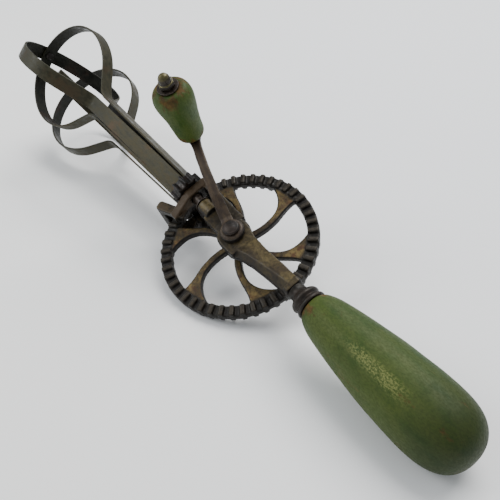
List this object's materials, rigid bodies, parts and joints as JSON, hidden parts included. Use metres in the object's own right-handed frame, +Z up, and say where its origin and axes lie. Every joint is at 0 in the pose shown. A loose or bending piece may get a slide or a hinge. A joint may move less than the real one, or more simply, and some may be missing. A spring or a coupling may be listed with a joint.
{
  "type": "rotary egg beater",
  "caption": "Hand-cranked rotary egg beater: a spoked face gear drives pinions on both sides that spin interleaved ribbon dashers; turned painted handle and knob.",
  "frame": {"origin": "on the table plane, under the middle of the bounding box", "axes": "+X along the tool from the handle to the dasher tips, +Z up from the table that the tool lies on, +Y to the side that the tool is rolled towards"},
  "size_m": [0.3242, 0.0708, 0.091],
  "materials": {
    "cast_frame": "dark cast iron, edges worn to a dull bronze",
    "cast_wheel": "dark cast iron, flats worn to a dull bronze gold",
    "gear_iron": "blackened cast iron",
    "crank_steel": "brown-grey oxidised strap",
    "ribbon_steel": "dull tinned steel, grey-green with brown stains",
    "hardware_steel": "oxidised steel",
    "painted_wood": "moss green paint on turned wood, chipped to orange-brown at the ends"
  },
  "bodies": {
    "frame": {"frame_casting": "cast_frame", "ferrule": "cast_frame", "handle_tang": "hardware_steel", "handle": "painted_wood", "wheel_washer": "hardware_steel"},
    "wheel": {"drive_wheel": "cast_wheel", "axle": "cast_wheel", "crank_arm": "crank_steel", "knob_spindle": "hardware_steel", "knob_base_washer": "hardware_steel", "knob_end_washer": "hardware_steel", "knob_nut": "hardware_steel"},
    "knob": {"knob": "painted_wood"},
    "top_dasher": {"top_pinion": "gear_iron", "top_shaft": "hardware_steel", "top_shaft_washer": "hardware_steel", "top_outer_loop": "ribbon_steel", "top_inner_loop": "ribbon_steel", "top_tip_rivet": "hardware_steel"},
    "bottom_dasher": {"bottom_pinion": "gear_iron", "bottom_shaft": "hardware_steel", "bottom_shaft_washer": "hardware_steel", "bottom_outer_loop": "ribbon_steel", "bottom_inner_loop": "ribbon_steel", "bottom_tip_rivet": "hardware_steel"}
  },
  "joints": [
    {"name": "wheel_spin", "type": "hinge", "parent": "frame", "child": "wheel", "pos_m": [-0.02526, 0, 0.01937], "axis": [-0.1158, 0.4297, 0.8955], "continuous": true},
    {"name": "knob_spin", "type": "hinge", "parent": "wheel", "child": "knob", "pos_m": [0.01786, -0.0001, 0.06743], "axis": [-0.1158, 0.4297, 0.8955], "continuous": true},
    {"name": "top_dasher_spin", "type": "hinge", "parent": "frame", "child": "top_dasher", "pos_m": [0.00879, 0.0043, 0.03288], "axis": [0.9871, 0.015, 0.1595], "continuous": true},
    {"name": "bottom_dasher_spin", "type": "hinge", "parent": "frame", "child": "bottom_dasher", "pos_m": [0.0111, -0.0043, 0.01496], "axis": [0.9952, -0.015, 0.0969], "continuous": true}
  ],
  "couplings": [
    {"joint": "top_dasher_spin", "follows": "wheel_spin", "ratio": 4.6},
    {"joint": "bottom_dasher_spin", "follows": "wheel_spin", "ratio": -4.6}
  ]
}
